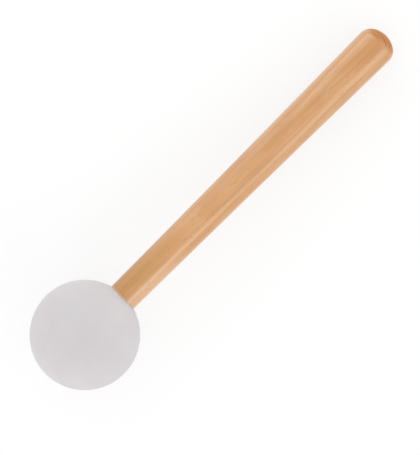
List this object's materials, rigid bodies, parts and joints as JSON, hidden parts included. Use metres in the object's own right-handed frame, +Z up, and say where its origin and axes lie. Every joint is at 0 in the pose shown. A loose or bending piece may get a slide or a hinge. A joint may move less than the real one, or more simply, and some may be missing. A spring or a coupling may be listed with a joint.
{
  "type": "rubber ball mallet",
  "caption": "Percussion mallet: a solid rubber ball on the shouldered tenon of a tapered, turned wooden handle with a rounded butt.",
  "frame": {"origin": "under the middle of the mallet's outer box, on the surface that it lies on", "axes": "+X towards the butt of the handle, with the ball at -X; +Z up; the mallet lies on its ball and its butt, and its own axis dips 4.9 degrees towards +X in the XZ plane"},
  "size_m": [0.2598, 0.06, 0.0598],
  "materials": {
    "white_rubber": "matte, slightly translucent moulded rubber",
    "lacquered_beech": "clear satin lacquer over fine straight grain",
    "cured_glue": "cured amber glue, hidden in the joint"
  },
  "bodies": {
    "root": {"rubber_ball": "white_rubber", "handle": "lacquered_beech", "glue_layer": "cured_glue"}
  },
  "joints": []
}
